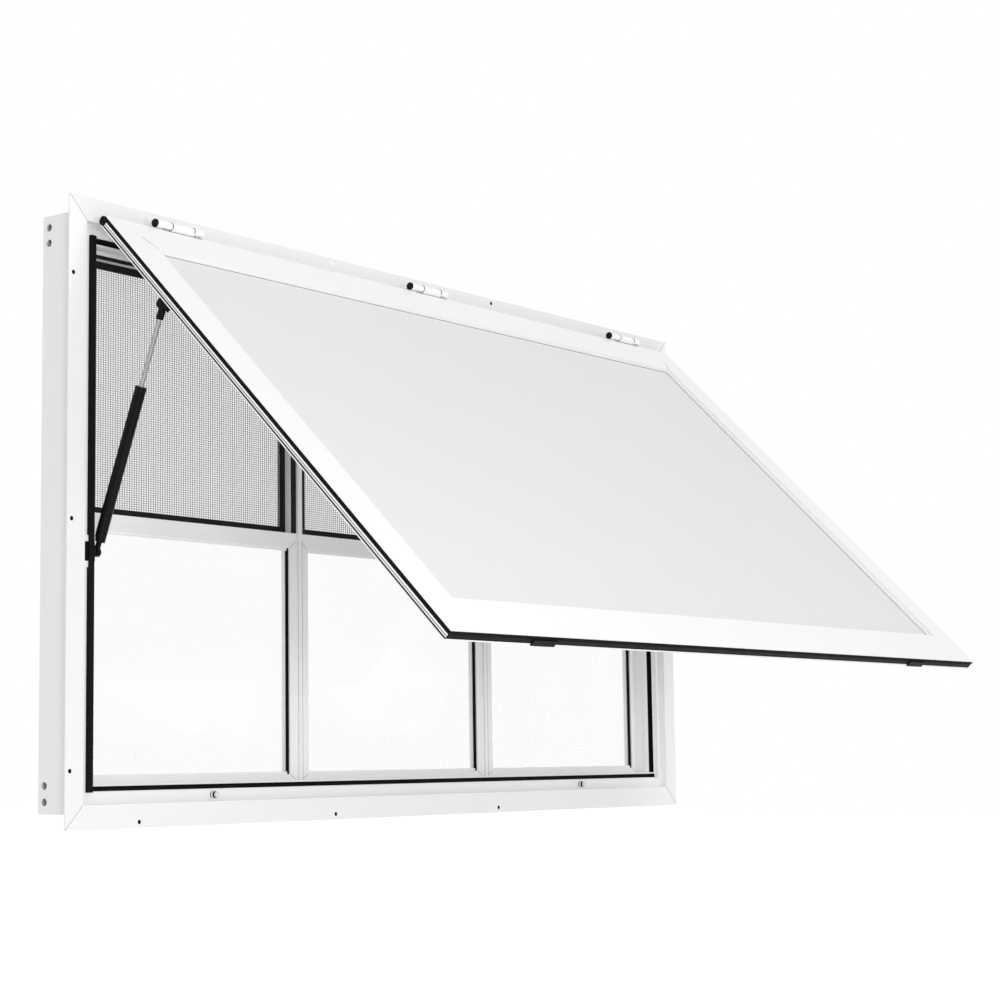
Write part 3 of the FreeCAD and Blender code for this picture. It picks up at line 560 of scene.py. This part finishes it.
def make_panel_shadow_lines(material):
    """Painted shadow lines round the recessed panel: at its top edge, and both edges of the right reveal.
    """
    turn = door_matrix()
    back = turn.inverted()
    front = min((back @ vertex.co).y for vertex in NODES["door_panel"].data.vertices)
    left = -DOOR_HALF + DOOR_BAR
    right = DOOR_HALF - DOOR_BAR
    low = DOOR_FOOT + DOOR_BAR
    high = DOOR_TOP - DOOR_BAR
    shadow_width = PANEL_SHADOW_WIDTH
    lip = DOOR_FACE - LINE_PROUD

    def build(work):
        add_box(work, (left, front - shadow_width, high - shadow_width), (right, front, high), turn)
        add_box(work, (right - shadow_width, front - shadow_width, low), (right, front, high), turn)
        add_box(work, (right, lip, low), (right + shadow_width, DOOR_FACE + LINE_PROUD, high), turn)
    mesh_piece("panel_painted_shadow_line", build, material, "door")


def make_door_trim(material):
    """Rounded end caps on the door's upper corners, and the short open ends of its top joints."""
    turn = door_matrix()
    middle = (GASKET_START + DOOR_BACK) / 2

    def build(work):
        for side in (-1, 1):
            spot = (Matrix.Translation(Vector((side * DOOR_HALF, middle, DOOR_TOP)))
                    @ Matrix.Rotation(side * math.radians(90), 4, "Y"))
            add_turned(work, END_CAP_PROFILE, turn @ spot)
            corner = Vector((side * (DOOR_HALF - DOOR_BAR), DOOR_FACE, DOOR_TOP - DOOR_BAR))
            reach = math.hypot(*CORNER_MARK)
            angle = -math.atan2(CORNER_MARK[1], side * CORNER_MARK[0])
            mark = Matrix.Translation(corner) @ Matrix.Rotation(angle, 4, "Y")
            add_box(work, (2 * JOINT_LINE, -LINE_PROUD, -JOINT_LINE / 2),
                    (reach, LINE_PROUD, JOINT_LINE / 2), turn @ mark)
    mesh_piece("door_end_caps", build, material, "door")


def make_hinge_washers(material):
    """Thin dark washers between the knuckles of each hinge."""
    axis = Vector(JOINTS["door_hinge"]["pos_m"])

    def build(work):
        for across in HINGE_PLACES:
            for step in WASHERS:
                turn = (Matrix.Translation(axis + Vector((across + step, 0, 0)))
                        @ Matrix.Rotation(math.radians(90), 4, "Y"))
                add_turned(work, WASHER_PROFILE, turn)
    mesh_piece("hinge_washers", build, material, "frame")


def make_hinge_shadow_strips(material):
    """A thin dark strip of painted shadow on the door's top edge, under each hinge barrel."""
    turn = door_matrix()
    start = CAP_LENGTH - HINGE_HALF

    def build(work):
        for across in HINGE_PLACES:
            add_box(work, (across + start, DOOR_FACE - LINE_PROUD, DOOR_TOP - HINGE_SHADOW_WIDTH),
                    (across + HINGE_HALF, DOOR_FACE + LINE_PROUD, DOOR_TOP), turn)
    mesh_piece("hinge_painted_shadow_strips", build, material, "door")


def make_camera():
    """The photograph's camera, with its off-centre frame."""
    camera = bpy.data.cameras.new("photo_view")
    camera.sensor_width = SENSOR_WIDTH
    camera.lens = FOCAL_PIXELS / PHOTO_WIDTH * SENSOR_WIDTH
    camera.shift_x = 0.5 - CENTRE_PIXEL[0] / PHOTO_WIDTH
    camera.shift_y = CENTRE_PIXEL[1] / PHOTO_WIDTH - 0.5
    camera.clip_end = SIGHT_LIMIT
    holder = bpy.data.objects.new("photo_view", camera)
    aim = (Matrix.Rotation(CAMERA_YAW, 4, "Z") @ Matrix.Rotation(CAMERA_PITCH, 4, "X")
           @ Matrix.Rotation(CAMERA_ROLL, 4, "Y") @ Matrix.Rotation(math.radians(90), 4, "X"))
    holder.matrix_world = Matrix.Translation(Vector(CAMERA_PLACE)) @ aim
    bpy.context.scene.collection.objects.link(holder)
    bpy.context.scene.camera = holder


def area_light(name, source, target, size, power):
    """A round soft lamp that looks at a point."""
    lamp = bpy.data.lights.new(name, "AREA")
    lamp.shape = "DISK"
    lamp.size = size
    lamp.energy = power
    holder = bpy.data.objects.new(name, lamp)
    direction = Vector(target) - Vector(source)
    holder.matrix_world = (Matrix.Translation(Vector(source))
                           @ direction.to_track_quat("-Z", "Y").to_matrix().to_4x4())
    bpy.context.scene.collection.objects.link(holder)


def make_studio():
    """A pale floor, a white surround and soft lamps."""
    scene = bpy.context.scene
    scene.view_settings.view_transform = "Standard"
    world = bpy.data.worlds.new("white_surround")
    scene.world = world
    world.use_nodes = True
    tree = world.node_tree
    ground = tree.nodes["Background"]
    ground.inputs["Color"].default_value = CLEAR_WHITE
    ground.inputs["Strength"].default_value = AMBIENT
    seen = tree.nodes.new("ShaderNodeBackground")
    seen.inputs["Strength"].default_value = 1.0
    seen.inputs["Color"].default_value = CLEAR_WHITE
    path = tree.nodes.new("ShaderNodeLightPath")
    largest = path.outputs["Is Camera Ray"]
    for output in ("Is Glossy Ray", "Is Transmission Ray"):
        either = tree.nodes.new("ShaderNodeMath")
        either.operation = "MAXIMUM"
        tree.links.new(largest, either.inputs[0])
        tree.links.new(path.outputs[output], either.inputs[1])
        largest = either.outputs["Value"]
    mix = tree.nodes.new("ShaderNodeMixShader")
    tree.links.new(largest, mix.inputs["Fac"])
    tree.links.new(ground.outputs["Background"], mix.inputs[1])
    tree.links.new(seen.outputs["Background"], mix.inputs[2])
    tree.links.new(mix.outputs["Shader"], tree.nodes["World Output"].inputs["Surface"])

    def build(work):
        half = FLOOR_SIZE / 2
        level = CAD_BOX[0][2] - FLOOR_DROP
        points = [work.verts.new((x, y, level)) for x, y in
                  ((-half, -half), (half, -half), (half, half), (-half, half))]
        work.faces.new(points)
    mesh = bpy.data.meshes.new("floor")
    work = bmesh.new()
    build(work)
    work.to_mesh(mesh)
    work.free()
    floor = bpy.data.objects.new("floor", mesh)
    scene.collection.objects.link(floor)
    floor.data.materials.append(floor_material())
    for name, source, size, power in LAMPS:
        area_light(name, source, LAMP_TARGET, size, power)


def floor_material():
    """A white floor that shows the camera a little more than it reflects, and keeps shadows."""
    material, tree, shader = new_material("pale_floor")
    shader.inputs["Base Color"].default_value = FLOOR_COLOUR
    shader.inputs["Roughness"].default_value = 0.9
    shader.inputs["Specular IOR Level"].default_value = 0.0
    lift = tree.nodes.new("ShaderNodeEmission")
    lift.inputs["Color"].default_value = CLEAR_WHITE
    path = tree.nodes.new("ShaderNodeLightPath")
    amount = tree.nodes.new("ShaderNodeMath")
    amount.operation = "MULTIPLY"
    amount.inputs[1].default_value = FLOOR_LIFT
    both = tree.nodes.new("ShaderNodeAddShader")
    tree.links.new(path.outputs["Is Camera Ray"], amount.inputs[0])
    tree.links.new(amount.outputs["Value"], lift.inputs["Strength"])
    tree.links.new(shader.outputs["BSDF"], both.inputs[0])
    tree.links.new(lift.outputs["Emission"], both.inputs[1])
    tree.links.new(both.outputs["Shader"], tree.nodes["Material Output"].inputs["Surface"])
    return material


def seal_white_parts(tree):
    """The seal's carrier is white beside its black strip, save on the left jamb."""
    across = place(tree, "X")
    level = place(tree, "Z")
    low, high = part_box("perimeter_seal")
    upright = between(tree, level, low.z + SEAL_WIDTH, high.z - SEAL_WIDTH)
    right = reckon(tree, "SUBTRACT", 1.0, between(tree, across, *SEAL_BLACK))
    right = reckon(tree, "SUBTRACT", right, between(tree, across, *SEAL_LINE))
    right = reckon(tree, "MULTIPLY", right, reckon(tree, "GREATER_THAN", across, 0.0))
    flat = reckon(tree, "SUBTRACT", 1.0, upright)
    from_edge = reckon(tree, "MINIMUM", reckon(tree, "SUBTRACT", level, low.z),
                       reckon(tree, "SUBTRACT", high.z, level))
    aside = reckon(tree, "SUBTRACT", 1.0, between(tree, from_edge, *FLAT_SEAL_BLACK))
    return reckon(tree, "ADD", reckon(tree, "MULTIPLY", upright, right),
                  reckon(tree, "MULTIPLY", flat, aside))


def trim_white_parts(tree):
    """The upper trim is white, save its upright bars and the lower half of its head bar."""
    aside = reckon(tree, "ABSOLUTE", from_bay_centre(tree))
    low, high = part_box("upper_trim")
    beside = reckon(tree, "GREATER_THAN", aside, BAY_HALF - UPPER_BAR)
    inside = between(tree, place(tree, "Z"), low.z + UPPER_BAR, high.z - UPPER_BAR)
    under_head = between(tree, place(tree, "Z"), high.z - UPPER_BAR - SKIN, high.z - UPPER_BAR / 2)
    black = reckon(tree, "MAXIMUM", reckon(tree, "MULTIPLY", beside, inside), under_head)
    return reckon(tree, "SUBTRACT", 1.0, black)


def bead_white_parts(tree):
    """Each pane has a black bead on its right and white ones on its other sides."""
    return reckon(tree, "LESS_THAN", from_bay_centre(tree), BAY_HALF - SASH_STILE - BEAD_WIDTH)


def cap_white_parts(tree):
    """A hinge cap is black at its end only."""
    along = reckon(tree, "ADD", place(tree, "X"), HINGE_HALF - HINGE_PLACES[0])
    spacing = HINGE_PLACES[1] - HINGE_PLACES[0]
    return reckon(tree, "GREATER_THAN", reckon(tree, "MODULO", along, spacing), CAP_BLACK)


def stile_dark_lines(tree):
    """Two thin dark lines along the outer edge of a door stile, behind the seal."""
    edge = reckon(tree, "GREATER_THAN", reckon(tree, "ABSOLUTE", place(tree, "X")), DOOR_HALF - SKIN)
    depth = place(tree, "Y", True)
    lines = reckon(tree, "ADD", between(tree, depth, *STILE_LINES[0]),
                   between(tree, depth, *STILE_LINES[1]))
    return reckon(tree, "MULTIPLY", edge, lines)


def stud_painted_shade_parts(tree):
    """Painted shade on a latch stud: a dark band at its base for its shadow on the rebate, and one round
    its waist.
    """
    depth = place(tree, "Y")
    base = reckon(tree, "GREATER_THAN", depth, STUD_SHADOW_START)
    return reckon(tree, "ADD", base, between(tree, depth, *STUD_WAIST_SHADE))


def bracket_white_parts(tree):
    """A strut's foot plate is white like the jamb, but for the black socket in its middle."""
    level = place(tree, "Z")
    return reckon(tree, "SUBTRACT", 1.0, between(tree, level, *FOOT_SOCKET))


def rail_black_parts(tree):
    """The wide black seal along the door's bottom edge."""
    edge = reckon(tree, "LESS_THAN", place(tree, "Z", True), DOOR_FOOT + SKIN)
    return reckon(tree, "MULTIPLY", edge, between(tree, place(tree, "Y", True), GASKET_START, BAND_END))


WHITE = powder_coat("white_powder_coat", LIGHT_COAT, SHADED_COAT)
STILE = powder_coat("white_door_stile", LIGHT_COAT, SHADED_COAT, second=(0.12, 0.12, 0.12),
                    where=stile_dark_lines)
RAIL = powder_coat("white_door_rail", LIGHT_COAT, SHADED_COAT, shine=0.08, second=BLACK_TONE,
                   where=rail_black_parts)
PANEL = powder_coat("pale_panel_coat", (0.775, 0.775, 0.775), (0.76, 0.76, 0.762), gloss=0.5)
SEAL = powder_coat("perimeter_seal_black", BLACK_TONE, BLACK_TONE, gloss=0.6, shine=0.03,
                   second=LIGHT_COAT, where=seal_white_parts)
TRIM = powder_coat("upper_trim_black", (0.02, 0.02, 0.021), (0.014, 0.014, 0.015), gloss=0.5,
                   shine=0.1, second=LIGHT_COAT, where=trim_white_parts)
BEAD = powder_coat("glazing_bead_black", BLACK_TONE, BLACK_TONE, gloss=0.6, shine=0.03,
                   second=LIGHT_COAT, where=bead_white_parts)
CAP = powder_coat("hinge_cap_black", BLACK_TONE, BLACK_TONE, gloss=0.4, shine=0.1, second=LIGHT_COAT,
                  where=cap_white_parts)
# Painted shade: the frame's head is coated a little greyer than the other white parts, standing for the
# shade that falls on it.
HEAD_PAINTED_SHADE_COAT = powder_coat("white_head_painted_shade_coat", (0.83, 0.83, 0.828), (0.81, 0.81, 0.81))
BRACKET = powder_coat("foot_bracket_black", BLACK_TONE, BLACK_TONE, gloss=0.4, shine=0.1,
                      second=LIGHT_COAT, where=bracket_white_parts)
RUBBER = rubber()
LINE = powder_coat("grey_joint_shadow", (0.3, 0.3, 0.3), (0.24, 0.24, 0.24), gloss=0.7)
FRAME_BLACK = black_coat("screen_frame_black", 0.5, 0.012, 0.08)
BLACK = black_coat("satin_black_coat", 0.35, 0.005, 0.08)
GLOSS_BLACK = black_coat("gloss_black_tube", 0.14, 0.004, 0.12)
MILL = powder_coat("bright_hinge_finish", (0.93, 0.93, 0.93), (0.88, 0.88, 0.88), gloss=0.25)
ROD = metal("polished_rod", (0.5, 0.5, 0.52), 0.2, (300.0, 300.0, 12.0), 0.05, edge=0.3)
# The latch studs are light grey with painted shade: black at the base, for their shadow, and round the
# waist.
STUD_WITH_PAINTED_SHADE = powder_coat("bright_latch_stud_painted_shade", (0.8, 0.8, 0.8), (0.7, 0.7, 0.7), gloss=0.12, shine=0.6,
                   second=BLACK_TONE, where=stud_painted_shade_parts)
WIRE = powder_coat("pale_screen_wire", (0.32, 0.32, 0.32), (0.27, 0.27, 0.27), gloss=0.5)
GLASS = clear_glass()

paint(WHITE, *names_like("frame_sill", "frame_left", "frame_right", "mullion_", "lower_sash_"))
paint(WHITE, *names_like("upper_frame_", "door_top"))
paint(RAIL, "door_bottom_rail")
paint(STILE, "door_left_stile", "door_right_stile")
paint(PANEL, "door_panel")
paint(SEAL, "perimeter_seal")
paint(BEAD, "sash_gaskets")
paint(TRIM, "upper_trim")
paint(CAP, "hinge_caps")
paint(RUBBER, "door_gasket", "door_corner_plugs")
paint(FRAME_BLACK, *names_like("screen_frame_"))
paint(BLACK, "door_locks", "strut_left_door_bracket", "strut_right_door_bracket")
paint(BLACK, "strut_left_end_fitting", "strut_right_end_fitting")
paint(GLOSS_BLACK, "strut_left_cylinder", "strut_right_cylinder")
paint(HEAD_PAINTED_SHADE_COAT, "frame_head")
paint(BRACKET, "strut_left_foot_bracket", "strut_right_foot_bracket")
paint(ROD, "strut_left_rod", "strut_right_rod")
paint(MILL, *names_like("hinge_frame_leaf_", "hinge_door_leaf_"))
paint(STUD_WITH_PAINTED_SHADE, "latch_studs")
paint(GLASS, "lower_glass", "upper_glass")
paint(WIRE, "screen_mesh")

make_mesh(WIRE)
make_frame_joint_lines(LINE)
make_sash_joint_lines(LINE)
make_jamb_seals(RUBBER, WHITE)
make_all_screws(BLACK, WHITE)
# The dark lines round the door panel are painted shadow.
make_panel_shadow_lines(LINE)
make_door_trim(RUBBER)
make_hinge_washers(RUBBER)
# Painted shadow under the hinge barrels, drawn in the black rubber.
make_hinge_shadow_strips(RUBBER)
make_camera()
make_studio()
